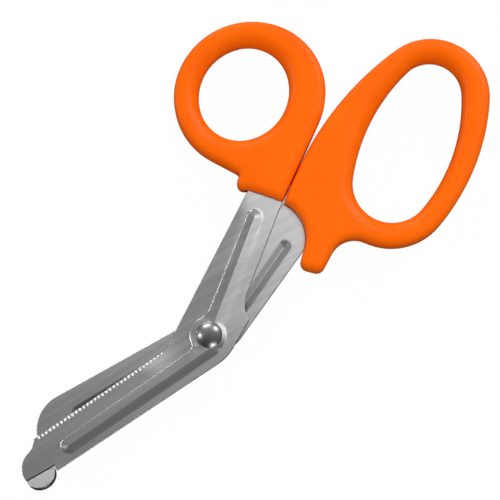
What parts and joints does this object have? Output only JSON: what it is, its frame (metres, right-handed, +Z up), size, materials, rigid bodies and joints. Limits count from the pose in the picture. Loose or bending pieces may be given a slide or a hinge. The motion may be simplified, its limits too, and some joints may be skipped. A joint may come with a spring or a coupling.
{
  "type": "bandage scissors",
  "caption": "Angled bandage scissors: ribbed steel blades with a serrated edge and a blunt turned-up tab, a domed pivot rivet, and moulded plastic loops for thumb and fingers.",
  "frame": {"origin": "under the middle of the closed scissors' box, on the surface that they lie on", "axes": "+X along the scissors from the blade tips to the handles, +Y towards the thumb ring, +Z up, out of the face with the domed rivet"},
  "size_m": [0.1821, 0.0954, 0.01],
  "materials": {
    "blade_steel": "brushed along the blade, satin",
    "rivet_steel": "polished",
    "handle_plastic": "orange moulded plastic with a fine satin texture"
  },
  "bodies": {
    "finger_half": {"plain_blade": "blade_steel", "finger_handle": "handle_plastic", "pivot_rivet": "rivet_steel"},
    "thumb_half": {"serrated_blade": "blade_steel", "thumb_handle": "handle_plastic"}
  },
  "joints": [
    {"name": "blade_pivot", "type": "hinge", "parent": "finger_half", "child": "thumb_half", "pos_m": [-0.02465, 0.00054, 0.005], "axis": [0, 0, 1], "range_deg": [0, 50]}
  ]
}
